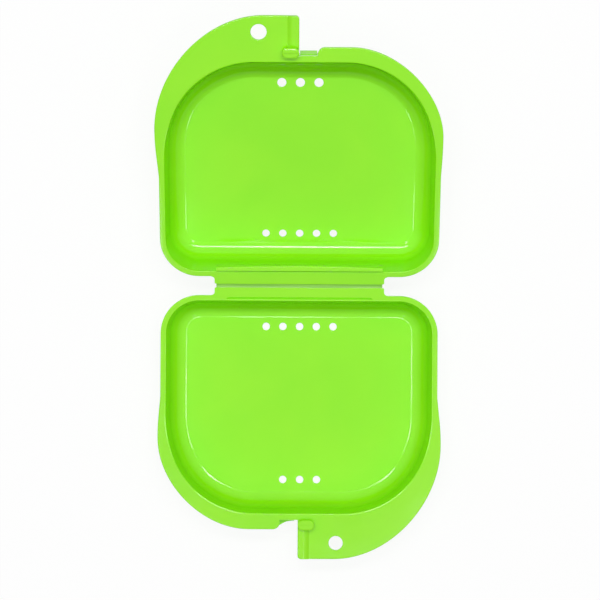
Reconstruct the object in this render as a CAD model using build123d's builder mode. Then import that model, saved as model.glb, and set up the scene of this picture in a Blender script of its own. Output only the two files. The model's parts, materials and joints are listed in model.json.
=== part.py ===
from build123d import *

import os
from dataclasses import dataclass
from math import cos, radians, sin, tan

# A clamshell case for a dental retainer, moulded in one piece and lying open, in millimetres.
# The base tray stands flat and the lid leans up behind it on the hinge.
# Each half is drawn in a frame of its own: origin on the hinge axis in the closure plane,
# Y from the hinge to the latch, Z up out of the tray, and X from the grip tab to the front lip.

# Whole case
SHELL_HEIGHT = 14.0
LID_LEAN = 19.4
RIM_GAP = 0.2
SPLIT_OFFSET = 0.25

# Tray
CAVITY_HALF_WIDTH = 37.7
CAVITY_REAR = 4.25
CAVITY_FRONT = 64.5
REAR_CORNER_RADIUS = 9.4
SHOULDER_RADIUS = 24.5
EASING_RADIUS = 34.4
EASING_ANGLE = 20.0
WALL = 1.6
FLOOR = 1.5
DRAFT = 6.0
COVE_RADIUS = 4.2
MOUTH_CHAMFER = 0.25
EDGE_RADIUS = 0.3

# Vents in the floor
REAR_VENT_COUNT = 5
REAR_VENT_RADIUS = 1.07
REAR_VENT_PITCH = 4.83
REAR_VENT_MARGIN = 7.4
FRONT_VENT_COUNT = 3
BASE_FRONT_VENT_RADIUS = 1.07
BASE_FRONT_VENT_PITCH = 4.88
LID_FRONT_VENT_RADIUS = 1.27
LID_FRONT_VENT_PITCH = 5.2
FRONT_VENT_MARGIN = 8.6

# Plates that widen the front half of the rim
PLATE_THICKNESS = 1.4
PLATE_START = 31.0
LIP_FLARE = 0.4
LIP_FLARE_END = 43.0
LIP_REACH = 4.35
LIP_FLAT_END = 14.0
LIP_ROUNDNESS = 0.507
LIP_CORNER_RADIUS = 2.0
TAB_FLARE = 1.0
TAB_FLARE_END = 45.0
TAB_REACH = 12.85
TAB_FLAT_END = 10.0
TAB_ROUNDNESS = 0.52
TAB_CORNER_RADIUS = 1.0

# Lanyard holes in the grip tabs
LANYARD_HOLE_INSET = 10.9
LANYARD_HOLE_SETBACK = 4.55
BASE_LANYARD_HOLE_RADIUS = 2.0
LID_LANYARD_HOLE_RADIUS = 2.2

# Snap catch on each tab, and the keeper in the other half that it hooks under
SIDE_CLEARANCE = 0.1
NOTCH_CLEARANCE = 0.15
CATCH_WIDTH = 4.7
CATCH_HEAD_HEIGHT = 0.9
CATCH_HEAD_BACK = 0.75
CATCH_CORNER_RADIUS = 1.2
CATCH_ENGAGEMENT = 0.45
CATCH_CLEARANCE = 0.2
STEM_THICKNESS = 1.9
STEM_INSET = 0.45
KEEPER_PROUD = 0.2
KEEPER_CLEARANCE = 0.15
RELIEF_CLEARANCE = 0.25

# Guide rib along each tab's straight edge
RIB_HEIGHT = 0.8
RIB_TOP_WIDTH = 1.95
RIB_FOOT_WIDTH = 2.95
RIB_CLEARANCE = 0.15
RIB_START_GAP = 0.25
RIB_END_MARGIN = 0.2

# Living hinge
FILM_LENGTH = 1.0
FILM_THICKNESS = 0.35
FILM_DEPTH = 0.3
FILM_END_INSET = 0.5
LEAF_HALF_WIDTH = 24.0
LEAF_CORNER_RADIUS = 0.4
GROOVE_WIDTH = 0.5
GROOVE_DEPTH = 0.3
GROOVE_END_INSET = 3.2
GROOVE_MARGIN = 0.5

# Locating lip that stands in the lid's mouth and drops into the base
LOCATING_LIP_HEIGHT = 0.9
LOCATING_LIP_THICKNESS = 0.95
LOCATING_LIP_BOW = 0.4
LOCATING_LIP_CLEARANCE = 0.4
LOCATING_LIP_FOOT = 2.4
LOCATING_LIP_SHELF = 0.9
LOCATING_LIP_END_INSET = 0.5

# Sizes that follow from those above
SLOPE = tan(radians(DRAFT))
RIM_DROP = RIM_GAP / 2
PLATE_UNDERSIDE = -RIM_DROP - PLATE_THICKNESS
CAVITY_FLOOR = FLOOR - SHELL_HEIGHT
TRAY_CENTRE = (CAVITY_REAR + CAVITY_FRONT) / 2
OUTER_HALF_WIDTH = CAVITY_HALF_WIDTH + WALL
OUTER_FRONT = CAVITY_FRONT + WALL
LEAF_END = FILM_LENGTH / 2
KEEPER_FACE = OUTER_FRONT + KEEPER_PROUD
STEM_FACE = KEEPER_FACE + CATCH_CLEARANCE
STEM_BACK = STEM_FACE + STEM_THICKNESS
NOSE_FACE = KEEPER_FACE - CATCH_ENGAGEMENT
HEAD_BACK = STEM_BACK + CATCH_HEAD_BACK
HEAD_UNDERSIDE = RIM_DROP + PLATE_THICKNESS + KEEPER_CLEARANCE
NOTCH_WIDTH = SIDE_CLEARANCE + CATCH_WIDTH + NOTCH_CLEARANCE
LIP_FRONT = CAVITY_FRONT + LIP_REACH
TAB_FRONT = CAVITY_FRONT + TAB_REACH
BEYOND = 2 * (TAB_FRONT + OUTER_HALF_WIDTH)


@dataclass(frozen=True)
class Shell:
    """One half of the case: its frame, and the sizes in which the halves differ."""

    name: str
    plane: Plane
    split: float
    front_vent_radius: float
    front_vent_pitch: float
    lanyard_hole_radius: float

    @property
    def up(self) -> Axis:
        """Direction out of the tray."""
        return Axis(self.plane.origin, self.plane.z_dir)

    @property
    def outward(self) -> Axis:
        """Direction from the hinge to the latch."""
        return Axis(self.plane.origin, self.plane.y_dir)

    @property
    def profile(self) -> Plane:
        """Upright plane down the middle, with reach from the hinge across and height up."""
        return Plane(self.plane.origin, x_dir=self.plane.y_dir, z_dir=self.plane.x_dir)

    def facing_latch(self, reach: float) -> Plane:
        """Upright plane at a reach, with distance towards the tab across and height up."""
        origin = self.plane.from_local_coords(Vector(self.split, reach, 0))
        return Plane(origin, x_dir=-self.plane.x_dir, z_dir=self.plane.y_dir)


def finish(piece, label):
    """Label a finished piece and write it."""
    piece.part.label = label
    export_step(piece.part, f"parts/{label}.step")


def cavity_outline(plane, inset):
    """The cavity's outline at its mouth, pulled in by inset, or let out where it is negative."""
    half_width = CAVITY_HALF_WIDTH - inset
    rear = CAVITY_REAR + inset
    front = CAVITY_FRONT - inset
    corner = REAR_CORNER_RADIUS - inset
    shoulder = SHOULDER_RADIUS - inset
    easing = EASING_RADIUS - inset
    easing_start = CAVITY_FRONT - SHOULDER_RADIUS - (easing - shoulder) * sin(radians(EASING_ANGLE))
    with BuildSketch(plane) as outline:
        with BuildLine():
            rear_edge = Line((0, rear), (half_width - corner, rear))
            rear_corner = JernArc(rear_edge @ 1, (1, 0), corner, 90)
            side = Line(rear_corner @ 1, (half_width, easing_start))
            ease = JernArc(side @ 1, (0, 1), easing, EASING_ANGLE)
            turn = JernArc(ease @ 1, ease % 1, shoulder, 90 - EASING_ANGLE)
            Line(turn @ 1, (0, front))
            mirror(about=Plane.YZ)
        make_face()
    return outline.sketch


def tapered_block(plane, top, bottom, inset):
    """A drafted block with the cavity's outline, let out or pulled in by a constant inset."""
    sections = [cavity_outline(plane.offset(height), inset - height * SLOPE) for height in (top, bottom)]
    with BuildPart() as block:
        loft(sections, ruled=True)
    return block.part


def cavity(shell):
    """The space inside a tray, with its rounded floor and its chamfered mouth."""
    rim = -RIM_DROP
    with BuildPart() as space:
        add(tapered_block(shell.plane, WALL, CAVITY_FLOOR, 0))
        fillet(space.faces().sort_by(shell.up)[0].edges(), COVE_RADIUS)
        mouth = [
            cavity_outline(shell.plane.offset(rim - MOUTH_CHAMFER), (MOUTH_CHAMFER - rim) * SLOPE),
            cavity_outline(shell.plane.offset(rim + WALL), -MOUTH_CHAMFER - WALL),
        ]
        loft(mouth, ruled=True)
    return space.part


def plate_region(plane, side, edge_x, flare, flare_end, front, flat_end, roundness, corner):
    """The closed region of a plate: all of one side of the split that lies past its start."""
    widest = OUTER_HALF_WIDTH + flare
    flare_middle = (PLATE_START + flare_end) / 2
    with BuildSketch(plane) as region:
        with BuildLine():
            swell = Bezier(
                (side * OUTER_HALF_WIDTH, PLATE_START),
                (side * OUTER_HALF_WIDTH, flare_middle),
                (side * widest, flare_middle),
                (side * widest, flare_end),
            )
            sweep_round = Bezier(
                swell @ 1,
                (side * widest, flare_end + roundness * (front - flare_end)),
                (side * (flat_end + roundness * (widest - flat_end)), front),
                (side * flat_end, front),
            )
            edge = FilletPolyline(sweep_round @ 1, (edge_x, front), (edge_x, PLATE_START), radius=corner)
            Line(edge @ 1, swell @ 0)
        make_face()
    return region.sketch


def free_edges(plate, shell):
    """The upper and lower edges of a plate, apart from those at the end that meets the tray."""
    by_height = plate.faces().sort_by(shell.up)
    rings = [face.edges().group_by(shell.outward)[1:] for face in (by_height[0], by_height[-1])]
    return [edge for ring in rings for group in ring for edge in group]


def build_tray(shell):
    """The dished shell: drafted wall, rounded bottom, floor with its vents, seats for the rest."""
    with BuildPart() as tray:
        add(tapered_block(shell.plane, -RIM_DROP, -SHELL_HEIGHT, -WALL))
        fillet(tray.faces().sort_by(shell.up)[0].edges(), COVE_RADIUS + FLOOR)
        fillet(tray.faces().sort_by(shell.up)[-1].edges(), EDGE_RADIUS)
        add(cavity(shell), mode=Mode.SUBTRACT)
        with BuildSketch(shell.plane.offset(-RIM_DROP)) as plate_seat:
            with Locations((0, PLATE_START + BEYOND / 2)):
                Rectangle(BEYOND, BEYOND)
        extrude(amount=-PLATE_THICKNESS, mode=Mode.SUBTRACT)
        with BuildSketch(shell.plane.offset(-RIM_DROP)) as leaf_seat:
            with Locations((0, CAVITY_REAR)):
                Rectangle(2 * LEAF_HALF_WIDTH, 2 * CAVITY_REAR)
        extrude(amount=-PLATE_THICKNESS, mode=Mode.SUBTRACT)
        relief_start = NOSE_FACE - RELIEF_CLEARANCE
        with BuildSketch(shell.plane.offset(PLATE_UNDERSIDE)) as catch_relief:
            with Locations((shell.split, relief_start)):
                Rectangle(NOTCH_WIDTH, BEYOND, align=(Align.MIN, Align.MIN))
        extrude(amount=-(CATCH_HEAD_HEIGHT + KEEPER_CLEARANCE + RELIEF_CLEARANCE), mode=Mode.SUBTRACT)
        with BuildSketch(shell.plane.offset(-SHELL_HEIGHT)) as vents:
            with Locations((0, CAVITY_REAR + REAR_VENT_MARGIN)):
                with GridLocations(REAR_VENT_PITCH, 1, REAR_VENT_COUNT, 1):
                    Circle(REAR_VENT_RADIUS)
            with Locations((0, CAVITY_FRONT - FRONT_VENT_MARGIN)):
                with GridLocations(shell.front_vent_pitch, 1, FRONT_VENT_COUNT, 1):
                    Circle(shell.front_vent_radius)
        extrude(amount=SHELL_HEIGHT, mode=Mode.SUBTRACT)
    return tray


def build_front_lip(shell):
    """The short plate beside the notch, which the other half's tab lies against."""
    region = plate_region(
        shell.plane.offset(-RIM_DROP), 1, shell.split + NOTCH_WIDTH, LIP_FLARE, LIP_FLARE_END,
        LIP_FRONT, LIP_FLAT_END, LIP_ROUNDNESS, LIP_CORNER_RADIUS,
    )
    with BuildPart() as front_lip:
        extrude(region, amount=-PLATE_THICKNESS, dir=shell.plane.z_dir)
        fillet(free_edges(front_lip, shell), EDGE_RADIUS)
        add(cavity(shell), mode=Mode.SUBTRACT)
    return front_lip


def tab_plate(shell):
    """The long plate on the tab's side, before it is parted into its fixed and its free end."""
    region = plate_region(
        shell.plane.offset(-RIM_DROP), -1, shell.split - SIDE_CLEARANCE, TAB_FLARE, TAB_FLARE_END,
        TAB_FRONT, TAB_FLAT_END, TAB_ROUNDNESS, TAB_CORNER_RADIUS,
    )
    with BuildPart() as plate:
        extrude(region, amount=-PLATE_THICKNESS, dir=shell.plane.z_dir)
        fillet(free_edges(plate, shell), EDGE_RADIUS)
    return plate.part


def build_side_flange(shell):
    """The fixed end of the tab's plate, a crescent along the tray's shoulder."""
    with BuildPart() as side_flange:
        add(tab_plate(shell))
        split(bisect_by=shell.facing_latch(KEEPER_FACE), keep=Keep.BOTTOM)
        add(cavity(shell), mode=Mode.SUBTRACT)
    return side_flange


def build_grip_tab(shell):
    """The free end of the tab's plate, which the thumb bends, with its lanyard hole."""
    with BuildPart() as grip_tab:
        add(tab_plate(shell))
        split(bisect_by=shell.facing_latch(KEEPER_FACE), keep=Keep.TOP)
        with BuildSketch(shell.plane.offset(-RIM_DROP)) as lanyard_hole:
            with Locations((shell.split - LANYARD_HOLE_INSET, TAB_FRONT - LANYARD_HOLE_SETBACK)):
                Circle(shell.lanyard_hole_radius)
        extrude(amount=-PLATE_THICKNESS, mode=Mode.SUBTRACT)
    return grip_tab


def build_keeper(shell):
    """The narrow ledge at the bottom of the notch, which holds the other half's catch."""
    with BuildPart() as keeper:
        with BuildSketch(shell.plane.offset(-RIM_DROP)):
            with Locations((shell.split - SIDE_CLEARANCE, PLATE_START)):
                Rectangle(
                    NOTCH_WIDTH + SIDE_CLEARANCE, KEEPER_FACE - PLATE_START, align=(Align.MIN, Align.MIN)
                )
        extrude(amount=-PLATE_THICKNESS)
        add(cavity(shell), mode=Mode.SUBTRACT)
    return keeper


def build_catch(shell):
    """The hook on the tab: a short stem with an oblong head that reaches back over the rim."""
    middle = shell.split - SIDE_CLEARANCE - CATCH_WIDTH / 2
    with BuildPart() as catch:
        with BuildSketch(shell.plane.offset(-RIM_DROP)):
            with Locations((middle, STEM_FACE)):
                Rectangle(CATCH_WIDTH - 2 * STEM_INSET, STEM_THICKNESS, align=(Align.CENTER, Align.MIN))
        extrude(amount=RIM_DROP + HEAD_UNDERSIDE)
        with BuildSketch(shell.plane.offset(HEAD_UNDERSIDE)):
            with Locations((middle, (NOSE_FACE + HEAD_BACK) / 2)):
                RectangleRounded(CATCH_WIDTH, HEAD_BACK - NOSE_FACE, CATCH_CORNER_RADIUS)
        extrude(amount=CATCH_HEAD_HEIGHT)
        fillet(catch.faces().sort_by(shell.up)[-1].edges(), EDGE_RADIUS)
    return catch


def build_guide_rib(shell):
    """The raised rib beside the tab's straight edge, with a sloping inner flank."""
    start = HEAD_BACK - CATCH_HEAD_BACK + RIB_START_GAP
    near = SIDE_CLEARANCE + RIB_CLEARANCE
    with BuildPart() as guide_rib:
        with BuildSketch(shell.facing_latch(start)):
            with BuildLine():
                Polyline(
                    (near, -RIM_DROP),
                    (near, RIB_HEIGHT - RIM_DROP),
                    (near + RIB_TOP_WIDTH, RIB_HEIGHT - RIM_DROP),
                    (near + RIB_FOOT_WIDTH, -RIM_DROP),
                    close=True,
                )
            make_face()
        extrude(amount=TAB_FRONT - RIB_END_MARGIN - start)
        fillet(guide_rib.faces().sort_by(shell.up)[-1].edges(), EDGE_RADIUS)
    return guide_rib


def build_hinge_leaf(shell, grooved):
    """The flat leaf that joins a tray's rear rim to the film."""
    with BuildPart() as hinge_leaf:
        with BuildSketch(shell.plane.offset(-RIM_DROP)):
            with BuildLine():
                ends = FilletPolyline(
                    (LEAF_HALF_WIDTH, 2 * CAVITY_REAR),
                    (LEAF_HALF_WIDTH, LEAF_END),
                    (-LEAF_HALF_WIDTH, LEAF_END),
                    (-LEAF_HALF_WIDTH, 2 * CAVITY_REAR),
                    radius=LEAF_CORNER_RADIUS,
                )
                Line(ends @ 1, ends @ 0)
            make_face()
        extrude(amount=-PLATE_THICKNESS)
        add(cavity(shell), mode=Mode.SUBTRACT)
        if grooved:
            with BuildSketch(shell.plane.offset(-RIM_DROP)):
                with Locations((0, CAVITY_REAR - GROOVE_MARGIN)):
                    Rectangle(
                        2 * (LEAF_HALF_WIDTH - GROOVE_END_INSET), GROOVE_WIDTH, align=(Align.CENTER, Align.MAX)
                    )
            extrude(amount=-GROOVE_DEPTH, mode=Mode.SUBTRACT)
    return hinge_leaf


def build_locating_lip(shell):
    """The low bowed wall that stands in the lid's mouth, on a foot against the cavity wall."""
    half_width = LEAF_HALF_WIDTH - LOCATING_LIP_END_INSET
    outer = CAVITY_REAR + LOCATING_LIP_CLEARANCE
    inner = outer + LOCATING_LIP_THICKNESS
    wall_at = {height: CAVITY_REAR - height * SLOPE for height in (-LOCATING_LIP_SHELF, -LOCATING_LIP_FOOT)}
    with BuildPart() as locating_lip:
        with BuildSketch(shell.profile):
            with BuildLine():
                Polyline(
                    (outer, LOCATING_LIP_HEIGHT),
                    (outer, -LOCATING_LIP_SHELF),
                    (wall_at[-LOCATING_LIP_SHELF], -LOCATING_LIP_SHELF),
                    (wall_at[-LOCATING_LIP_FOOT], -LOCATING_LIP_FOOT),
                    (inner, -LOCATING_LIP_FOOT),
                    (inner + LOCATING_LIP_BOW, -LOCATING_LIP_SHELF),
                    (inner + LOCATING_LIP_BOW, LOCATING_LIP_HEIGHT),
                    close=True,
                )
            make_face()
        extrude(amount=half_width, both=True)
        with BuildSketch(shell.plane.offset(-LOCATING_LIP_FOOT)):
            with BuildLine():
                bow = ThreePointArc(
                    (-half_width, inner), (0, inner + LOCATING_LIP_BOW), (half_width, inner)
                )
                Polyline(bow @ 1, (half_width, 0), (-half_width, 0), bow @ 0)
            make_face()
        extrude(amount=LOCATING_LIP_FOOT + LOCATING_LIP_HEIGHT, mode=Mode.INTERSECT)
        fillet(locating_lip.faces().sort_by(shell.up)[-1].edges(), EDGE_RADIUS)
    return locating_lip


def build_hinge_film(base_shell, lid_shell):
    """The thin web between the two leaves, bent by the lid's lean."""
    corners = []
    for shell, heights in ((base_shell, (1, -1)), (lid_shell, (-1, 1))):
        for side in heights:
            height = side * FILM_THICKNESS / 2 - FILM_DEPTH
            corner = shell.plane.from_local_coords(Vector(0, LEAF_END, height))
            corners.append((corner.Y, corner.Z))
    with BuildPart() as hinge_film:
        with BuildSketch(Plane.YZ):
            with BuildLine():
                Polyline(*corners, close=True)
            make_face()
        extrude(amount=LEAF_HALF_WIDTH - FILM_END_INSET, both=True)
    return hinge_film


HINGE_POINT = Vector(0, TRAY_CENTRE, SHELL_HEIGHT)
LEAN = radians(LID_LEAN)
BASE = Shell(
    "base", Plane(HINGE_POINT, x_dir=(-1, 0, 0), z_dir=(0, 0, 1)), SPLIT_OFFSET,
    BASE_FRONT_VENT_RADIUS, BASE_FRONT_VENT_PITCH, BASE_LANYARD_HOLE_RADIUS,
)
LID = Shell(
    "lid", Plane(HINGE_POINT, x_dir=(1, 0, 0), z_dir=(0, -sin(LEAN), cos(LEAN))), -SPLIT_OFFSET,
    LID_FRONT_VENT_RADIUS, LID_FRONT_VENT_PITCH, LID_LANYARD_HOLE_RADIUS,
)

os.makedirs("parts", exist_ok=True)
for half in (BASE, LID):
    finish(build_tray(half), f"{half.name}_tray")
    finish(build_front_lip(half), f"{half.name}_front_lip")
    finish(build_side_flange(half), f"{half.name}_side_flange")
    finish(build_grip_tab(half), f"{half.name}_grip_tab")
    finish(build_keeper(half), f"{half.name}_keeper")
    finish(build_catch(half), f"{half.name}_catch")
    finish(build_guide_rib(half), f"{half.name}_guide_rib")
    finish(build_hinge_leaf(half, grooved=half is BASE), f"{half.name}_hinge_leaf")
finish(build_locating_lip(LID), "lid_locating_lip")
finish(build_hinge_film(BASE, LID), "hinge_film")
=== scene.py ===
"""Looks of the open retainer case: moulded shells, snap catches, living hinge, finishes and studio."""

import json
import logging
import math
from collections.abc import Callable, Iterator
from contextlib import contextmanager
from dataclasses import dataclass
from enum import Enum

import bmesh
import bpy
from mathutils import Matrix, Vector


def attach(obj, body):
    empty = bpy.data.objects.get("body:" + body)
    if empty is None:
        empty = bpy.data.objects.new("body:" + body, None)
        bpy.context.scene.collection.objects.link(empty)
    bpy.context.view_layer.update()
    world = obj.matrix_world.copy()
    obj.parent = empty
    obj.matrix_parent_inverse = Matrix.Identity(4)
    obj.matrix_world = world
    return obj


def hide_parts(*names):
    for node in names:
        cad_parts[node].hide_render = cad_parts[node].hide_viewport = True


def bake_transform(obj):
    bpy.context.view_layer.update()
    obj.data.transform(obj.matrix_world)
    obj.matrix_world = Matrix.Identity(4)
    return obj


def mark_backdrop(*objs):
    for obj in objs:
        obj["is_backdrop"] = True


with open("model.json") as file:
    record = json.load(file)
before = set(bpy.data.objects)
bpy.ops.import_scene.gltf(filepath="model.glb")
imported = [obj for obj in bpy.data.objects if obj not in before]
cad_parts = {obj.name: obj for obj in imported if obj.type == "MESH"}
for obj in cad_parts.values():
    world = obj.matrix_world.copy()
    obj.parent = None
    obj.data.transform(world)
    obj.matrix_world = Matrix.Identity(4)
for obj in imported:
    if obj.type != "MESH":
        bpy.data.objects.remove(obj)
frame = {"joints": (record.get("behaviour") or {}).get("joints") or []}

LOG = logging.getLogger("retainer_case")

# One millimetre in metres, and how far apart two measures in millimetres may be and still be one
MM = 0.001
NEAR = 1e-3

WHITE = (1.0, 1.0, 1.0, 1.0)

Piece = bpy.types.Object
Material = bpy.types.Material
Tree = bpy.types.NodeTree
Socket = bpy.types.NodeSocket
Point = tuple[float, float]
Corner = tuple[float, float, float]


class Half(Enum):
    """The two halves of the case, by the name that their CAD nodes begin with."""

    BASE = "base"
    LID = "lid"


class Flank(Enum):
    """The two sides of a half, as seen from the hinge: its grip tab is at -X and its lip at +X."""

    TAB = -1
    LIP = 1


# Modelling helpers


def deselect_all() -> None:
    """Leave object mode's selection empty."""
    if bpy.context.object and bpy.context.object.mode != "OBJECT":
        bpy.ops.object.mode_set(mode="OBJECT")
    bpy.ops.object.select_all(action="DESELECT")


def make_active(piece: Piece) -> None:
    """Select one piece alone and make it the active one.

    Args:
        piece: The piece to select.
    """
    deselect_all()
    piece.select_set(True)
    bpy.context.view_layer.objects.active = piece


@contextmanager
def edit(piece: Piece) -> Iterator[None]:
    """Hold one piece in edit mode, with nothing selected at the start.

    Args:
        piece: The mesh object to edit.
    """
    make_active(piece)
    bpy.ops.object.mode_set(mode="EDIT")
    bpy.ops.mesh.select_mode(type="VERT")
    bpy.ops.mesh.select_all(action="DESELECT")
    yield
    bpy.ops.object.mode_set(mode="OBJECT")


def pick(piece: Piece, kind: str, test: Callable[..., bool]) -> None:
    """Select the vertices, edges or faces that pass a test, in edit mode.

    Args:
        piece: The mesh object, in edit mode.
        kind: VERT, EDGE or FACE.
        test: Is given a vertex's place, an edge's two ends, or a face's centre and normal.
    """
    bpy.ops.mesh.select_all(action="DESELECT")
    bpy.ops.mesh.select_mode(type=kind)
    mesh = bmesh.from_edit_mesh(piece.data)
    if kind == "VERT":
        found = [v for v in mesh.verts if test(v.co)]
    elif kind == "EDGE":
        found = [e for e in mesh.edges if test(e.verts[0].co, e.verts[1].co)]
    else:
        found = [f for f in mesh.faces if test(f.calc_center_median(), f.normal)]
    for item in found:
        item.select_set(True)
    mesh.select_flush_mode()
    bmesh.update_edit_mesh(piece.data)


def key_of(place: Vector) -> Corner:
    """A place in round figures, by which it can be looked up."""
    return tuple(round(c, 4) for c in place)


def place_ring(piece: Piece, before: list[Vector], after: list[Vector]) -> None:
    """Move the selected ring of vertices from one outline to the next, point by point.

    Args:
        piece: The mesh object, in edit mode, with the ring selected.
        before: Where the ring's points are.
        after: Where they go, in the same order.
    """
    targets = {key_of(old): new for old, new in zip(before, after)}
    mesh = bmesh.from_edit_mesh(piece.data)
    for vertex in mesh.verts:
        if vertex.select:
            vertex.co = targets[key_of(vertex.co)]
    bmesh.update_edit_mesh(piece.data)


def extruded_skin(name: str, rings: list[list[Vector]]) -> Piece:
    """Model a closed skin by extruding one ring along a list of outlines, with both ends filled.

    Args:
        name: The piece's name.
        rings: Outlines with equally many points, from one end of the skin to the other.

    Returns:
        The new mesh object.
    """
    deselect_all()
    bpy.ops.mesh.primitive_circle_add(vertices=len(rings[0]), radius=50.0, location=(0, 0, 0))
    piece = bpy.context.object
    piece.name = piece.data.name = name
    start = [v.co.copy() for v in piece.data.vertices]
    with edit(piece):
        bpy.ops.mesh.select_all(action="SELECT")
        place_ring(piece, start, rings[0])
        for before, after in zip(rings, rings[1:]):
            bpy.ops.mesh.extrude_region()
            place_ring(piece, before, after)
        bpy.ops.mesh.edge_face_add()
        first = {key_of(point) for point in rings[0]}
        pick(piece, "VERT", lambda co: key_of(co) in first)
        bpy.ops.mesh.edge_face_add()
        bpy.ops.mesh.select_all(action="SELECT")
        bpy.ops.mesh.normals_make_consistent(inside=False)
    return piece


def extruded_plate(name: str, outline: list[Point], top: float, bottom: float) -> Piece:
    """Model a flat plate with a given outline.

    Args:
        name: The piece's name.
        outline: The plan outline, in order.
        top: Height of its upper face.
        bottom: Height of its lower face.

    Returns:
        The new mesh object.
    """
    return extruded_skin(name, [[Vector((x, y, z)) for x, y in outline] for z in (bottom, top)])


def block(name: str, low: Corner, high: Corner) -> Piece:
    """Add a cube primitive that spans two corners, as the start of a piece or a cutter.

    Args:
        name: The piece's name.
        low: Its lowest corner.
        high: Its highest corner.

    Returns:
        The new mesh object.
    """
    deselect_all()
    middle = [(a + b) / 2 for a, b in zip(low, high)]
    size = [b - a for a, b in zip(low, high)]
    bpy.ops.mesh.primitive_cube_add(size=1.0, location=middle, scale=size)
    piece = bpy.context.object
    piece.name = piece.data.name = name
    bpy.ops.object.transform_apply(location=True, rotation=True, scale=True)
    return piece


def round_edges(piece: Piece, test: Callable[..., bool], width: float, segments: int) -> None:
    """Bevel the edges whose two ends pass a test, in edit mode.

    Args:
        piece: The mesh object, in edit mode.
        test: Is given an edge's two ends.
        width: The bevel's width.
        segments: How many faces it has.
    """
    pick(piece, "EDGE", test)
    bpy.ops.mesh.bevel(
        offset=width, offset_type="OFFSET", segments=segments, profile=0.5, affect="EDGES"
    )


def row_of(piece: Piece, count: int, pitch: float) -> Piece:
    """Repeat a piece along X and join the row, with its middle where the piece was.

    Args:
        piece: The piece to repeat.
        count: How many there are in the row.
        pitch: Distance between their middles.

    Returns:
        The row as one mesh object.
    """
    row = [piece]
    for i in range(1, count):
        twin = piece.copy()
        twin.data = piece.data.copy()
        twin.data.transform(Matrix.Translation((i * pitch, 0, 0)))
        bpy.context.scene.collection.objects.link(twin)
        row.append(twin)
    make_active(piece)
    for twin in row:
        twin.select_set(True)
    bpy.ops.object.join()
    piece.data.transform(Matrix.Translation((-(count - 1) * pitch / 2, 0, 0)))
    return piece


def combine(piece: Piece, tool: Piece, operation: str) -> None:
    """Apply one exact boolean to a piece and delete the tool.

    Args:
        piece: The piece that is changed.
        tool: The mesh that is added or cut away.
        operation: UNION or DIFFERENCE.
    """
    make_active(piece)
    modifier = piece.modifiers.new("combine", "BOOLEAN")
    modifier.operation = operation
    modifier.solver = "EXACT"
    modifier.object = tool
    bpy.ops.object.modifier_apply(modifier="combine")
    bpy.data.objects.remove(tool)


def dress(piece: Piece, finish: Material, angle: float) -> None:
    """Give a piece its finish, and smooth it with normals that keep flat faces flat.

    Args:
        piece: The piece, in its place.
        finish: Its only material.
        angle: The angle in degrees past which an edge stays sharp.
    """
    piece.data.materials.clear()
    piece.data.materials.append(finish)
    make_active(piece)
    bpy.ops.object.shade_smooth_by_angle(angle=math.radians(angle))
    modifier = piece.modifiers.new("weigh", "WEIGHTED_NORMAL")
    modifier.keep_sharp = True
    modifier.weight = 60
    bpy.ops.object.modifier_apply(modifier="weigh")


def arc(centre: Point, radius: float, start: float, end: float, steps: int) -> list[Point]:
    """Points along an arc, both ends included.

    Args:
        centre: The arc's centre.
        radius: Its radius.
        start: Its first angle, in degrees.
        end: Its last angle, in degrees.
        steps: How many segments it has.

    Returns:
        The points in order.
    """
    angles = [math.radians(start + (end - start) * i / steps) for i in range(steps + 1)]
    return [(centre[0] + radius * math.cos(a), centre[1] + radius * math.sin(a)) for a in angles]


def disc(middle: Point, radius: float, height: float, count: int) -> list[Vector]:
    """A round outline at a height, for a bored hole.

    Args:
        middle: The hole's middle.
        radius: Its radius there.
        height: The outline's height.
        count: How many points it has.

    Returns:
        The points in order.
    """
    points = arc(middle, radius, 0, 360 - 360 / count, count - 1)
    return [Vector((x, y, height)) for x, y in points]


def bezier(points: tuple[Point, Point, Point, Point], steps: int) -> list[Point]:
    """Points along a cubic curve, both ends included.

    Args:
        points: Its start, two handles and end.
        steps: How many segments it has.

    Returns:
        The points in order.
    """
    found = []
    for i in range(steps + 1):
        t = i / steps
        weights = ((1 - t) ** 3, 3 * t * (1 - t) ** 2, 3 * t * t * (1 - t), t**3)
        found.append(tuple(sum(w * p[axis] for w, p in zip(weights, points)) for axis in (0, 1)))
    return found


def evenly(start: Point, end: Point, steps: int) -> list[Point]:
    """Points strictly between two ends of a straight line."""
    return [tuple(a + (b - a) * i / steps for a, b in zip(start, end)) for i in range(1, steps)]


def smooth(value: float, start: float, end: float) -> float:
    """Ease from 0 to 1 while a value goes from a start to an end, level at both.

    Args:
        value: The value now.
        start: Where the share is 0.
        end: Where it is 1.

    Returns:
        The share.
    """
    share = min(1.0, max(0.0, (value - start) / (end - start)))
    return share * share * (3 - 2 * share)


# Where things are


@dataclass(frozen=True)
class HalfFrame:
    """One half's own frame in millimetres: Y from the hinge to the latch, Z out of the tray.

    Its pieces are modelled flat in this frame and then moved to where the CAD has them.
    """

    half: Half
    hinge: Vector
    lean: float
    split_offset: float = 0.25
    tab_clearance: float = 0.1

    @property
    def matrix(self) -> Matrix:
        """From this frame's millimetres to the case's metres."""
        angle, axis = (math.pi, "Z") if self.half is Half.BASE else (self.lean, "X")
        return Matrix.Translation(self.hinge) @ Matrix.Rotation(angle, 4, axis) @ Matrix.Scale(MM, 4)

    @property
    def split(self) -> float:
        """Where the tab's side ends and the lip's side begins."""
        return self.split_offset if self.half is Half.BASE else -self.split_offset

    @property
    def tab_edge(self) -> float:
        """Where the tab's straight edge lies, just clear of the split."""
        return self.split - self.tab_clearance

    def node(self, part: str) -> str:
        """The CAD node's name for a part of this half."""
        return f"{self.half.value}_{part}"

    def point(self, x: float, y: float, z: float) -> Vector:
        """A point of this frame in the case's metres."""
        return self.matrix @ Vector((x, y, z))


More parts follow.
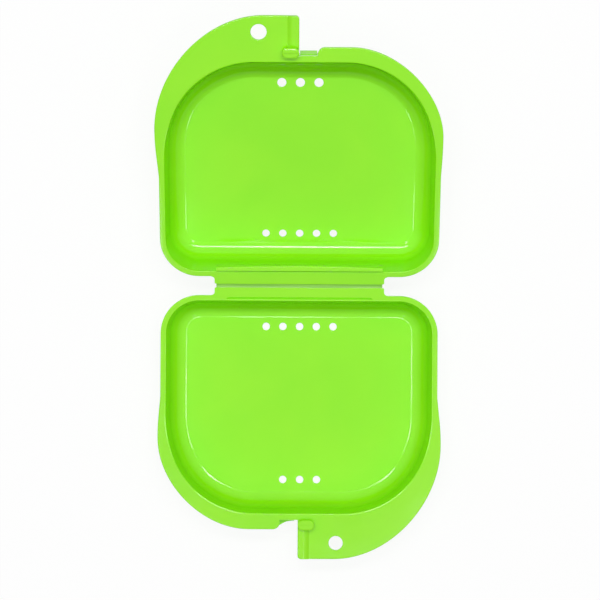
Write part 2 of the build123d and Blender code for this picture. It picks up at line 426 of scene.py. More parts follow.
@dataclass(frozen=True)
class CavityOutline:
    """The tray's plan outline at its mouth: rear corners, slightly bowed sides, wide front shoulders."""

    half_width: float = 37.7
    rear: float = 4.25
    front: float = 64.5
    corner_radius: float = 9.4
    shoulder_radius: float = 24.5
    easing_radius: float = 34.4
    easing_angle: float = 20.0
    corner_steps: int = 22
    easing_steps: int = 8
    shoulder_steps: int = 28
    straight_steps: int = 6
    front_steps: int = 4

    @property
    def corner_centre(self) -> Point:
        """Centre of the right rear corner."""
        return (self.half_width - self.corner_radius, self.rear + self.corner_radius)

    @property
    def shoulder_centre(self) -> Point:
        """Centre of the right front shoulder."""
        spare = (self.easing_radius - self.shoulder_radius) * math.cos(math.radians(self.easing_angle))
        return (self.half_width - self.easing_radius + spare, self.front - self.shoulder_radius)

    @property
    def easing_centre(self) -> Point:
        """Centre of the gentle arc between side and shoulder."""
        spare = (self.easing_radius - self.shoulder_radius) * math.sin(math.radians(self.easing_angle))
        return (self.half_width - self.easing_radius, self.front - self.shoulder_radius - spare)

    @property
    def middle(self) -> float:
        """Half way between rear and front."""
        return (self.rear + self.front) / 2

    def points(self, outset: float) -> list[Point]:
        """The whole outline, let out by a distance, with the same count of points for any distance.

        Args:
            outset: How far it is let out, or pulled in where it is negative.

        Returns:
            The points, anticlockwise from the middle of the rear edge.
        """
        corner = arc(self.corner_centre, self.corner_radius + outset, -90, 0, self.corner_steps)
        turn = self.easing_angle
        easing = arc(self.easing_centre, self.easing_radius + outset, 0, turn, self.easing_steps)
        shoulder = arc(
            self.shoulder_centre, self.shoulder_radius + outset, turn, 90, self.shoulder_steps
        )
        right = corner + evenly(corner[-1], easing[0], self.straight_steps) + easing + shoulder[1:]
        rear_middle = (0.0, self.rear - outset)
        front_middle = (0.0, self.front + outset)
        right = evenly(rear_middle, right[0], self.straight_steps) + right
        right += evenly(right[-1], front_middle, self.front_steps)
        return [rear_middle] + right + [front_middle] + [(-x, y) for x, y in reversed(right)]

    def ring(self, outset: float, height: float) -> list[Vector]:
        """The outline let out by a distance, at a height."""
        return [Vector((x, y, height)) for x, y in self.points(outset)]

    def distance(self, x: float, y: float) -> float:
        """How far a point lies outside the outline, or inside where it is negative.

        Args:
            x: Distance across.
            y: Reach from the hinge.

        Returns:
            The distance in millimetres.
        """
        across = abs(x)
        corner_x, corner_y = self.corner_centre
        easing_x, easing_y = self.easing_centre
        shoulder_x, shoulder_y = self.shoulder_centre
        if y <= corner_y:
            if across <= corner_x:
                return self.rear - y
            return math.hypot(across - corner_x, y - corner_y) - self.corner_radius
        if y <= easing_y:
            return across - self.half_width
        if math.degrees(math.atan2(y - easing_y, across - easing_x)) <= self.easing_angle:
            return math.hypot(across - easing_x, y - easing_y) - self.easing_radius
        if across <= shoulder_x:
            return y - self.front
        return math.hypot(across - shoulder_x, y - shoulder_y) - self.shoulder_radius


@dataclass(frozen=True)
class WallProfile:
    """The tray's section: drafted wall, rounded rim, cove, and a narrow facet at mouth and floor."""

    depth: float = 14.0
    wall: float = 1.6
    floor: float = 1.5
    plate: float = 1.4
    draft: float = 6.0
    rim_height: float = -0.1
    rim_outer_radius: float = 0.24
    rim_inner_radius: float = 0.2
    cove_radius: float = 5.3
    cove_start: float = 12.0
    bottom_radius: float = 5.7
    facet_width: float = 0.25
    facet_slope: float = 8.0
    facet_drift: float = 0.07
    mouth_slope_width: float = 0.13
    bottom_steps: int = 12
    rim_steps: int = 8
    cove_steps: int = 18

    @property
    def floor_height(self) -> float:
        """Height of the tray's floor."""
        return self.floor - self.depth

    @property
    def facet_top(self) -> float:
        """Height of the floor facet's outer edge, where the steeper cove begins."""
        return self.floor_height + self.facet_width * math.tan(math.radians(self.facet_slope))

    def rolled(
        self, radius: float, height: float, skew: float, start: float, end: float, steps: int
    ) -> list[Point]:
        """One arc of the section, set against a drafted face.

        Args:
            radius: The arc's radius.
            height: Height of its centre.
            skew: Distance from the drafted line through the mouth to the centre, outwards.
            start: Its first angle, in degrees.
            end: Its last angle, in degrees.
            steps: How many segments it has.

        Returns:
            Pairs of outset and height.
        """
        slope = math.radians(self.draft)
        centre = (skew + height * math.sin(slope)) / math.cos(slope)
        return arc((centre, height), radius, start, end, steps)

    def points(self) -> list[Point]:
        """The section from the middle of the underside, up over the rim and down to the floor.

        Returns:
            Pairs of outset and height.
        """
        wall = self.wall * math.cos(math.radians(self.draft))
        bottom, cove = self.bottom_radius, self.cove_radius
        outer, inner = self.rim_outer_radius, self.rim_inner_radius
        section = self.rolled(
            bottom, bottom - self.depth, wall - bottom, -90, -self.draft, self.bottom_steps
        )
        section += self.rolled(
            outer, self.rim_height - outer, wall - outer, -self.draft, 90, self.rim_steps
        )
        step = self.mouth_slope_width
        drop = step * math.tan(math.radians(self.facet_slope))
        mouth = self.rolled(
            inner, self.rim_height - drop - inner, inner, 90, 180 - self.draft, self.rim_steps
        )
        section += [(mouth[0][0] + step, self.rim_height)] + mouth
        lift = cove * math.cos(math.radians(self.cove_start))
        section += self.rolled(
            cove, self.facet_top + lift, -cove, -self.draft, self.cove_start - 90, self.cove_steps
        )
        section.append((section[-1][0] - self.facet_width, self.floor_height))
        return section


OUTLINE = CavityOutline()
PROFILE = WallProfile()


@dataclass(frozen=True)
class RimPlate:
    """The plan of a plate that widens the front half of the rim on one flank."""

    flank: Flank
    flare: float
    flare_end: float
    reach: float
    flat_end: float
    roundness: float
    corner_radius: float
    start: float = 27.0
    start_sink: float = 0.3
    swell_start: float = 31.0
    swell_lead: float = 3.0
    swell_steps: int = 16
    sweep_steps: int = 44
    wall_overlap: float = 0.05
    margin: float = 1.0
    edge_radius: float = 0.3

    def outline(self, edge_x: float) -> list[Point]:
        """The plate's plan, from its start on the tray's side round to the split and back in the wall.

        Args:
            edge_x: Where its straight edge at the split lies.

        Returns:
            The points in order, anticlockwise for the lip and clockwise for the tab.
        """
        side = self.flank.value
        outer = OUTLINE.half_width + PROFILE.wall
        widest = outer + self.flare
        front = OUTLINE.front + self.reach
        middle = (self.swell_start + self.flare_end) / 2
        swell_points = (
            (outer - self.start_sink, self.start),
            (outer, middle - self.swell_lead),
            (widest, middle),
            (widest, self.flare_end),
        )
        sweep_points = (
            (widest, self.flare_end),
            (widest, self.flare_end + self.roundness * (front - self.flare_end)),
            (self.flat_end + self.roundness * (widest - self.flat_end), front),
            (self.flat_end, front),
        )
        sweep = bezier(sweep_points, self.sweep_steps)
        edge = side * edge_x
        radius = self.corner_radius
        corner = arc((edge + radius, front - radius), radius, 90, 180, 8)
        across = bezier(swell_points, self.swell_steps) + sweep[1:]
        across += evenly(sweep[-1], corner[0], 4) + corner
        mid_wall = OUTLINE.front + PROFILE.wall / 2
        across += [(edge, OUTLINE.front + PROFILE.wall + self.wall_overlap), (edge, mid_wall)]
        low_x, low_y = edge + self.margin, self.start + self.margin
        inner = [p for p in OUTLINE.points(PROFILE.wall / 2) if p[0] > low_x and p[1] > low_y]
        across += sorted(inner, key=lambda p: math.atan2(p[1] - self.start, p[0]), reverse=True)
        across.append((OUTLINE.half_width + PROFILE.wall / 2, self.start))
        return [(side * x, y) for x, y in across]

    def build(self, name: str, edge_x: float) -> Piece:
        """Model the plate with rounded outer edges.

        Args:
            name: The piece's name.
            edge_x: Where its straight edge at the split lies.

        Returns:
            The new mesh object, in the half's frame.
        """
        levels = (PROFILE.rim_height, PROFILE.rim_height - PROFILE.plate)
        plate = extruded_plate(name, self.outline(edge_x), *levels)

        def is_free(a: Vector, b: Vector) -> bool:
            """Tell whether an edge runs along the rim of either face, clear of the tray's wall."""
            flat = abs(a.z - b.z) < NEAR and min(abs(a.z - level) for level in levels) < NEAR
            return flat and min(OUTLINE.distance(p.x, p.y) for p in (a, b)) > PROFILE.wall * 0.55

        with edit(plate):
            round_edges(plate, is_free, self.edge_radius, 4)
        return plate


# Finishes


def linear(code: str) -> tuple[float, float, float, float]:
    """Turn an sRGB hex colour into linear light.

    Args:
        code: The colour as #rrggbb.

    Returns:
        Red, green, blue and full alpha.
    """
    shares = [int(code[i : i + 2], 16) / 255 for i in (1, 3, 5)]
    red, green, blue = (s / 12.92 if s <= 0.04045 else ((s + 0.055) / 1.055) ** 2.4 for s in shares)
    return (red, green, blue, 1.0)


def empty_tree(owner: Material | bpy.types.World) -> Tree:
    """Switch a material or world to nodes, with none in it.

    Args:
        owner: The material or world.

    Returns:
        Its node tree.
    """
    owner.use_nodes = True
    owner.node_tree.nodes.clear()
    return owner.node_tree


def add_node(
    tree: Tree,
    kind: str,
    values: dict[str | int, object] | None = None,
    links: dict[str | int, Socket] | None = None,
    **settings: object,
) -> bpy.types.Node:
    """Add one node with its settings, socket values and incoming links.

    Args:
        tree: The node tree.
        kind: The node's type name, without its ShaderNode.
        values: Socket values by the socket's name or place.
        links: Output sockets that feed this node, by the name or place of the socket they feed.
        settings: The node's own properties.

    Returns:
        The new node.
    """
    node = tree.nodes.new(f"ShaderNode{kind}")
    for name, value in settings.items():
        setattr(node, name, value)
    for socket, value in (values or {}).items():
        node.inputs[socket].default_value = value
    for socket, source in (links or {}).items():
        tree.links.new(source, node.inputs[socket])
    return node


@dataclass(frozen=True)
class MouldedPolypropylene:
    """Opaque polypropylene, injection moulded in a polished tool.

    The tool's polish gives crisp highlights, softened by a fine skin; slow cooling leaves a gentle
    waviness, and the pigment shows as barely visible flow clouds.
    """

    name: str = "Moulded_polypropylene_lime"
    colours: tuple[str, str] = ("#92ee10", "#98f014")
    cloud_range: Point = (0.35, 0.65)
    ior: float = 1.49
    roughness_low: float = 0.07
    roughness_high: float = 0.10
    cloud_size: float = 26.0
    polish_size: float = 7.0
    wave_size: float = 9.0
    wave_height: float = 0.003
    skin_size: float = 0.5
    skin_height: float = 0.0012
    subsurface: float = 0.06
    subsurface_depth: float = 0.9

    def build(self) -> Material:
        """Make the material.

        Returns:
            The finished material.
        """
        material = bpy.data.materials.new(self.name)
        tree = empty_tree(material)
        place = add_node(tree, "TexCoord").outputs["Object"]
        patterns = (
            (self.cloud_size, {"Detail": 3.0, "Roughness": 0.55, "Distortion": 0.6}),
            (self.polish_size, {"Detail": 2.0}),
            (self.wave_size, {"Detail": 1.0}),
            (self.skin_size, {"Detail": 2.0}),
        )
        clouds, polish, waves, skin = (
            add_node(
                tree, "TexNoise", {"Scale": 1 / (size * MM), **values}, {"Vector": place}
            ).outputs["Fac"]
            for size, values in patterns
        )
        roughness = add_node(
            tree, "MapRange",
            {
                "From Min": 0.3, "From Max": 0.7,
                "To Min": self.roughness_low, "To Max": self.roughness_high,
            },
            {"Value": polish},
        )
        waviness = add_node(
            tree, "Bump", {"Strength": 1.0, "Distance": self.wave_height * MM}, {"Height": waves},
        )
        surface = add_node(
            tree, "Bump", {"Strength": 1.0, "Distance": self.skin_height * MM},
            {"Height": skin, "Normal": waviness.outputs["Normal"]},
        )
        shader = add_node(
            tree, "BsdfPrincipled",
            {
                "IOR": self.ior,
                "Subsurface Weight": self.subsurface,
                "Subsurface Radius": (0.8, 1.0, 0.35),
                "Subsurface Scale": self.subsurface_depth * MM,
            },
            {
                "Base Color": mixed_tones(tree, clouds, self.colours, self.cloud_range),
                "Roughness": roughness.outputs["Result"],
                "Normal": surface.outputs["Normal"],
            },
        )
        add_node(tree, "OutputMaterial", links={"Surface": shader.outputs["BSDF"]})
        return material


@dataclass(frozen=True)
class FlexedFilmWithPaintedShade:
    """The same polypropylene where it is coined thin and has been bent.

    Bending stretches it, so that it turns paler, greyer and duller, with faint streaks along the
    fold, and being thin it lets some light through. Both its tones are also darker than the lime
    plastic's, and that part is painted shade from the shadow beneath the film.
    """

    name: str = "Flexed_polypropylene_film_with_painted_shade"
    # Both greens are darker than the lime plastic's: partly the flexed film's own duller colour, partly
    # painted shade from beneath it.
    colours: tuple[str, str] = ("#74be22", "#90d24a")
    streak_range: Point = (0.35, 0.7)
    ior: float = 1.49
    roughness: float = 0.38
    streak_width: float = 0.22
    streak_length: float = 14.0
    streak_height: float = 0.01
    subsurface: float = 0.3
    subsurface_depth: float = 0.6

    def build(self) -> Material:
        """Make the material.

        Returns:
            The finished material.
        """
        material = bpy.data.materials.new(self.name)
        tree = empty_tree(material)
        place = add_node(tree, "TexCoord").outputs["Object"]
        along = 1 / (self.streak_length * MM)
        across = 1 / (self.streak_width * MM)
        stretched = add_node(tree, "Mapping", {"Scale": (along, across, across)}, {"Vector": place})
        streaks = add_node(
            tree, "TexNoise", {"Scale": 1.0, "Detail": 2.0}, {"Vector": stretched.outputs["Vector"]},
        ).outputs["Fac"]
        grooves = add_node(
            tree, "Bump", {"Strength": 1.0, "Distance": self.streak_height * MM}, {"Height": streaks},
        )
        shader = add_node(
            tree, "BsdfPrincipled",
            {
                "Roughness": self.roughness,
                "IOR": self.ior,
                "Subsurface Weight": self.subsurface,
                "Subsurface Radius": (0.8, 1.0, 0.5),
                "Subsurface Scale": self.subsurface_depth * MM,
            },
            {
                "Base Color": mixed_tones(tree, streaks, self.colours, self.streak_range),
                "Normal": grooves.outputs["Normal"],
            },
        )
        add_node(tree, "OutputMaterial", links={"Surface": shader.outputs["BSDF"]})
        return material


def mixed_tones(tree: Tree, share: Socket, colours: tuple[str, str], ends: Point) -> Socket:
    """Mix a plastic's two tones by a pattern.

    Args:
        tree: The node tree.
        share: The pattern's output.
        colours: The two tones, as #rrggbb.
        ends: The pattern's values at which each tone is pure.

    Returns:
        The output with the mixed colour.
    """
    ramp = add_node(tree, "ValToRGB", links={"Fac": share})
    for stop, place, colour in zip(ramp.color_ramp.elements, ends, colours):
        stop.position = place
        stop.color = linear(colour)
    return ramp.outputs["Color"]


@dataclass(frozen=True)
class BackdropPaper:
    """Uncoated white paper with a fine fibre, which scatters light evenly and has no gloss.

    The camera and reflections see most of it as plain white, and the rest keeps the case's shadow.
    """

    name: str = "White_backdrop_paper"
    colour: str = "#fcfcfc"
    fibre_size: float = 10 / 9
    fibre_height: float = 0.02
    fibre_strength: float = 0.2
    glow: float = 0.9

    def build(self) -> Material:
        """Make the material.

        Returns:
            The finished material.
        """
        material = bpy.data.materials.new(self.name)
        tree = empty_tree(material)
        place = add_node(tree, "TexCoord").outputs["Object"]
        fibre = add_node(
            tree, "TexNoise", {"Scale": 1 / (self.fibre_size * MM), "Detail": 2.0}, {"Vector": place},
        )
        relief = add_node(
            tree, "Bump", {"Strength": self.fibre_strength, "Distance": self.fibre_height * MM},
            {"Height": fibre.outputs["Fac"]},
        )
        matt = add_node(
            tree, "BsdfDiffuse", {"Color": linear(self.colour)}, {"Normal": relief.outputs["Normal"]},
        )
        glow = add_node(tree, "Emission", {"Color": WHITE, "Strength": 1.0})
        path = add_node(tree, "LightPath").outputs
        seen = add_node(
            tree, "Math",
            links={0: path["Is Camera Ray"], 1: path["Is Glossy Ray"]}, operation="MAXIMUM",
        )
        share = add_node(tree, "Math", {1: self.glow}, {0: seen.outputs[0]}, operation="MULTIPLY")
        mixed = add_node(
            tree, "MixShader",
            links={0: share.outputs[0], 1: matt.outputs["BSDF"], 2: glow.outputs["Emission"]},
        )
        add_node(tree, "OutputMaterial", links={"Surface": mixed.outputs["Shader"]})
        return material


# The case


@dataclass
class MouldedPiece:
    """What each piece of a half has: that half's frame and the plastic it is moulded from."""

    place: HalfFrame
    finish: Material

    def settle(self, piece: Piece, angle: float) -> None:
        """Move a piece that was modelled flat to where the CAD has it, and dress it.

        Args:
            piece: The piece, in the half's frame.
            angle: The angle in degrees past which its edges stay sharp.
        """
        piece.data.transform(self.place.matrix)
        dress(piece, self.finish, angle)


@dataclass(frozen=True)
class VentRow:
    """One row of round vents through the floor."""

    count: int
    radius: float
    pitch: float
    reach: float
    shift: float = 0.0
    flare: float = 0.14
    taper: float = 0.5
    sides: int = 48

    def cutter(self) -> Piece:
        """Model the row as one cutter, each vent flared at the floor and widening outwards.

        Returns:
            The new mesh object, in the half's frame.
        """
        floor, flare = PROFILE.floor_height, self.flare
        outer = self.radius + self.taper
        rings = (
            (outer, -PROFILE.depth - 1),
            (outer, -PROFILE.depth),
            (self.radius, floor - 2 * flare),
            (self.radius, floor - flare),
            (self.radius + 0.3 * flare, floor - 0.3 * flare),
            (self.radius + flare, floor),
            (self.radius + flare, floor + 1),
        )
        middle = (self.shift, self.reach)
        vent = extruded_skin("vents", [disc(middle, r, z, self.sides) for r, z in rings])
        return row_of(vent, self.count, self.pitch)


@dataclass
class MouldedShell(MouldedPiece):
    """One tray with all that is rigid on it: rim plates, keeper ledge and hinge leaf."""

    vents: tuple[VentRow, VentRow]
    front_swell: float
    lip: RimPlate
    tab: RimPlate
    swell_top: float = -3.0
    front_swell_span: Point = (38.0, 62.0)
    rear_draw: float = 0.45
    rear_draw_span: Point = (26.0, 10.0)
    mouth_drop: float = 0.0055
    mouth_drop_span: Point = (30.0, 42.0)
    mouth_edge_start: float = 36.0
    mouth_edge_width: float = 0.8
    drift_waves: tuple[Point, Point] = ((0.9, 0.0), (2.3, 1.0))
    sharp_angle: float = 28.0
    weld: float = 0.002
    notch_width: float = 4.95
    keeper_face: float = 66.3
    keeper_edge: float = 0.15
    keeper_tab_sink: float = 0.6
    keeper_lip_sink: float = 0.5
    relief_face: float = 65.6
    relief_reach: float = 3.0
    relief_bottom: float = -2.8
    gusset_reach: float = 1.7
    gusset_bottom: float = -4.2
    gusset_sink: float = 0.4
    gusset_start: Point = (0.6, 0.9)
    gusset_hollow: tuple[Point, Point] = ((1.2, 0.9), (1.9, 0.5))
    gusset_thin: float = 0.45
    gusset_clearance: float = 0.02
    pad_face: float = 65.95
    pad_root: float = 0.45
    pad_bottom: float = -5.5
    pad_lean: float = 0.72
    pad_edge: float = 0.12
    pad_inset: float = 0.1
    pad_overlap: float = 0.1
    leaf_half_width: float = 24.0
    leaf_end: float = 0.5
    leaf_corner: float = 0.4
    leaf_foot: float = 0.9
    leaf_proud: float = 0.05
    leaf_overlap: float = 0.5
    leaf_inner: float = 3.9
    leaf_edge: float = 0.12
    groove_outer: float = 3.25
    groove_inner: float = 3.75
    groove_half_length: float = 20.8
    groove_taper: float = 0.9
    groove_sections: tuple[Point, ...] = ((-0.1, 0.5), (0.0, 0.05), (0.22, -0.45))
    gate_radius: float = 2.4
    gate_depth: float = 0.25
    gate_step: float = 1.6
    gate_dimple: float = 0.6
    gate_sides: int = 48

    def mouth_fall(self, x: float, y: float) -> float:
        """How much lower the mouth's inner edge lies towards the front, most of all at the shoulders.

        Args:
            x: Distance across.
            y: Reach from the hinge.

        Returns:
            The fall in millimetres.
        """
        centre_x, centre_y = OUTLINE.shoulder_centre
        turn = math.atan2(max(0.0, y - centre_y), max(0.0, abs(x) - centre_x))
        return self.mouth_drop * smooth(y, *self.mouth_drop_span) * (1 + 2 * math.sin(2 * turn))

    def tray(self) -> Piece:
        """Model the dished tray as one closed skin, from its underside over the rim to its floor.

        Returns:
            The new mesh object, in the half's frame.
        """
        top = PROFILE.rim_height
        rings = [OUTLINE.ring(outset, height) for outset, height in PROFILE.points()]
        mouth = max(i for i, ring in enumerate(rings) if ring[0].z > top - 0.5)
        for point in sum(rings[mouth:], []):
            low = smooth(point.z, self.swell_top, PROFILE.floor_height)
            point.y -= self.front_swell * low * smooth(point.y, *self.front_swell_span)
            point.y -= self.rear_draw * low * smooth(point.y, *self.rear_draw_span)
        for point in sum(rings[mouth - PROFILE.rim_steps : mouth + 1], []):
            point.z -= self.mouth_fall(point.x, point.y)
        middle = Vector((0, OUTLINE.middle, 0))
        for i, point in enumerate(rings[-1]):
            waves = sum(math.sin(rate * i + phase) for rate, phase in self.drift_waves)
            inward = (middle - point).to_2d().normalized()
            rings[-1][i] = point + PROFILE.facet_drift * waves / 2 * inward.to_3d()
        tray = extruded_skin(self.place.node("shell"), rings)
        facet = (rings[-1][0].z, rings[-2][0].z)

        def is_facet(a: Vector, b: Vector) -> bool:
            """Tell whether an edge is one of the two round the floor's facet."""
            return any(abs(a.z - z) + abs(b.z - z) < NEAR / 10 for z in facet)

        def is_mouth(a: Vector, b: Vector) -> bool:
            """Tell whether an edge is the inner one round the front of the rim's flat top."""
            level = abs(a.z - top) + abs(b.z - top) < NEAR / 10
            inside = OUTLINE.distance(a.x, a.y) < self.mouth_edge_width
            return level and inside and min(a.y, b.y) > self.mouth_edge_start

        with edit(tray):
            for is_crisp in (is_facet, is_mouth):
                pick(tray, "EDGE", is_crisp)
                bpy.ops.mesh.mark_sharp()
        return tray

    def flange(self) -> Piece:
        """Model the fixed end of the tab's plate, up to where the free end bends.

        Returns:
            The new mesh object, in the half's frame.
        """
        flange = self.tab.build("flange", self.place.tab_edge)
        with edit(flange):
            bpy.ops.mesh.select_all(action="SELECT")
            bpy.ops.mesh.bisect(
                plane_co=(0, self.keeper_face, 0), plane_no=(0, 1, 0), use_fill=True, clear_outer=True
            )
        return flange

    def keeper(self) -> Piece:
        """Model the ledge at the bottom of the notch.

        Returns:
            The new mesh object, in the half's frame.
        """
        left = self.place.tab_edge - self.keeper_tab_sink
        right = self.place.split + self.notch_width + self.keeper_lip_sink
        top = PROFILE.rim_height
        low = (left, OUTLINE.front + PROFILE.wall / 2, top - PROFILE.plate)
        keeper = block("keeper", low, (right, self.keeper_face, top))
        face = self.keeper_face - NEAR

        def is_free(a: Vector, b: Vector) -> bool:
            """Tell whether an edge runs along the ledge's free face."""
            return min(a.y, b.y) > face and abs(a.z - b.z) < NEAR

        with edit(keeper):
            round_edges(keeper, is_free, self.keeper_edge, 3)
        return keeper

    def leaf(self) -> Piece:
        """Model the hinge leaf, with small fillets where it meets the rim.

        Returns:
            The new mesh object, in the half's frame.
        """
        rim_line = OUTLINE.rear - PROFILE.wall
        root = rim_line + self.leaf_overlap
        width, fillet, radius = self.leaf_half_width, self.leaf_foot, self.leaf_corner
        right = [(width, self.leaf_inner), (width, root), (width + fillet, root)]
        right += arc((width + fillet, rim_line - fillet), fillet, 90, 180, 6)
        right += arc((width - radius, self.leaf_end + radius), radius, 0, -90, 6)
        outline = right + [(-x, y) for x, y in reversed(right)]
        top = PROFILE.rim_height
        leaf = extruded_plate("leaf", outline, top + self.leaf_proud, top - PROFILE.plate)

        def is_end(a: Vector, b: Vector) -> bool:
            """Tell whether an edge runs along the leaf's end at the film."""
            flat = abs(a.z - b.z) < NEAR and max(a.y, b.y) < rim_line - fillet
            return flat and min(abs(a.x), abs(b.x)) < width - 0.3 * radius

        with edit(leaf):
            round_edges(leaf, is_end, self.leaf_edge, 3)
        return leaf

    def pad(self) -> Piece:
        """Model the pad on the outer wall below the notch, which leans out and guides the catch.

        Returns:
            The new mesh object, in the half's frame.
        """
        left = self.place.split + self.pad_inset
        right = self.place.split + self.notch_width - self.pad_inset
        top = PROFILE.rim_height - PROFILE.plate + self.pad_overlap
        low = (left, OUTLINE.front + self.pad_root, self.pad_bottom)
        pad = block("pad", low, (right, self.pad_face, top))
        face, level = self.pad_face - NEAR, self.relief_bottom
        with edit(pad):
            pick(pad, "VERT", lambda co: co.y > face and co.z < level)
            bpy.ops.transform.translate(value=(0, self.pad_lean, 0))
            round_edges(
                pad, lambda a, b: min(a.y, b.y) > face and min(a.z, b.z) < level, self.pad_edge, 3
            )
        return pad

    def relief(self) -> Piece:
        """Model the cutter of the room below the keeper, into which the catch hooks.

        Returns:
            The new mesh object, in the half's frame.
        """
        split = self.place.split
        top = PROFILE.rim_height - PROFILE.plate
        high = (split + self.notch_width, self.relief_face + self.relief_reach, top)
        return block("relief", (split, self.relief_face, self.relief_bottom), high)

    def gusset(self) -> Piece:
        """Model the small hollow-edged web below the notch, which props the lip's corner.

        Returns:
            The new mesh object, in the half's frame.
        """
        wall, face = OUTLINE.front + PROFILE.wall / 2, self.keeper_face
        end = self.place.split + self.notch_width
        root, start = (self.place.split + across for across in self.gusset_start)
        handles = ((end - across, face + reach) for across, reach in self.gusset_hollow)
        tip = (end, face + self.gusset_reach)
        curve = bezier((tip, *handles, (start, face + self.gusset_thin)), 10)
        sunk = end + self.gusset_sink
        plan = [(sunk, wall), (sunk, tip[1])] + curve + [(root, wall)]
        top = self.relief_bottom - self.gusset_clearance
        return extruded_plate("gusset", plan, top, self.gusset_bottom)

    def groove_cutter(self) -> Piece:
        """Model the cutter of the fine V groove beside the rear rim, with its tapered ends.

        Returns:
            The new mesh object, in the half's frame.
        """
        length, slant = self.groove_half_length, self.groove_taper
        rings = []
        for inset, rise in self.groove_sections:
            low, high = self.groove_outer + inset, self.groove_inner - inset
            right = [(length - slant, low), (length - inset, high)]
            plan = [(-x, y) for x, y in reversed(right)] + right
            rings.append([Vector((x, y, PROFILE.rim_height + rise)) for x, y in plan])
        return extruded_skin("groove", rings)

    def gate_cutter(self) -> Piece:
        """Model the cutter of the shallow well on the underside, where the plastic entered the mould.

        Returns:
            The new mesh object, in the half's frame.
        """
        top = -PROFILE.depth + self.gate_depth
        deselect_all()
        bpy.ops.mesh.primitive_cylinder_add(
            vertices=self.gate_sides, radius=self.gate_radius, depth=2.0,
            location=(0, OUTLINE.middle, top - 1.0),
        )
        well = bpy.context.object
        bpy.ops.object.transform_apply(location=True, rotation=True, scale=True)
        with edit(well):
            pick(well, "FACE", lambda centre, normal: abs(centre.z - top) < NEAR)
            bpy.ops.mesh.inset(thickness=self.gate_step, depth=0.0)
            drop = (0, 0, -self.gate_depth * self.gate_dimple)
            bpy.ops.mesh.extrude_region_move(TRANSFORM_OT_translate={"value": drop})
        return well

    def build(self) -> Piece:
        """Model the shell and move it to its place.

        Returns:
            The finished piece.
        """
        is_base = self.place.half is Half.BASE
        shell = self.tray()
        combine(shell, self.lip.build("lip", self.place.split + self.notch_width), "UNION")
        for added in (self.flange, self.keeper, self.leaf, self.pad):
            combine(shell, added(), "UNION")
        combine(shell, self.relief(), "DIFFERENCE")
        if is_base:
            combine(shell, self.gusset(), "UNION")
        for row in self.vents:
            combine(shell, row.cutter(), "DIFFERENCE")
        if is_base:
            combine(shell, self.groove_cutter(), "DIFFERENCE")
        combine(shell, self.gate_cutter(), "DIFFERENCE")
        with edit(shell):
            bpy.ops.mesh.select_all(action="SELECT")
            bpy.ops.mesh.remove_doubles(threshold=self.weld)
        self.settle(shell, self.sharp_angle)
        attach(shell, self.place.half.value)
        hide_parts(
            *(self.place.node(part) for part in ("tray", "front_lip", "side_flange", "keeper", "hinge_leaf")),
        )
        return shell


@dataclass
class GripTab(MouldedPiece):
    """The free end of the long plate, which the thumb bends, with its lanyard hole."""

    plate: RimPlate
    hole_radius: float
    hole_inset: float
    fold: float = 66.3
    bend_end: float = 69.0
    bend_steps: int = 6
    hole_reach: float = 72.8
    hole_flare: float = 0.22
    hole_sides: int = 72
    sharp_angle: float = 28.0

    def hole_cutter(self) -> Piece:
        """Model the cutter of the lanyard hole, flared at both faces.

        Returns:
            The new mesh object, in the half's frame.
        """
        top = PROFILE.rim_height
        bottom = top - PROFILE.plate
        flare = self.hole_flare
        middle = (self.place.split - self.hole_inset, self.hole_reach)
        levels = (
            (bottom - 1, flare),
            (bottom, flare),
            (bottom + 0.3 * flare, 0.4 * flare),
            (bottom + flare, 0.0),
            (top - flare, 0.0),
            (top - 0.3 * flare, 0.4 * flare),
            (top, flare),
            (top + 1, flare),
        )
        radius, sides = self.hole_radius, self.hole_sides
        return extruded_skin("hole", [disc(middle, radius + out, z, sides) for z, out in levels])

    def build(self) -> Piece:
        """Model the tab beyond the fold, with extra cuts across the stretch to the bend's end, and move it to
        its place.

        Returns:
            The finished piece.
        """
        tab = self.plate.build(self.place.node("tab_plate"), self.place.tab_edge)
        with edit(tab):
            for i in range(self.bend_steps + 1):
                reach = self.fold + (self.bend_end - self.fold) * i / self.bend_steps
                is_end = i == 0
                bpy.ops.mesh.select_all(action="SELECT")
                bpy.ops.mesh.bisect(
                    plane_co=(0, reach, 0), plane_no=(0, 1, 0), use_fill=is_end, clear_inner=is_end
                )
        combine(tab, self.hole_cutter(), "DIFFERENCE")
        self.settle(tab, self.sharp_angle)
        level = PROFILE.rim_height - PROFILE.plate
        self.place.point(0, self.fold, level)
        self.place.point(0, self.bend_end, level)
        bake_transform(tab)
        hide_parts(self.place.node("grip_tab"))
        return tab


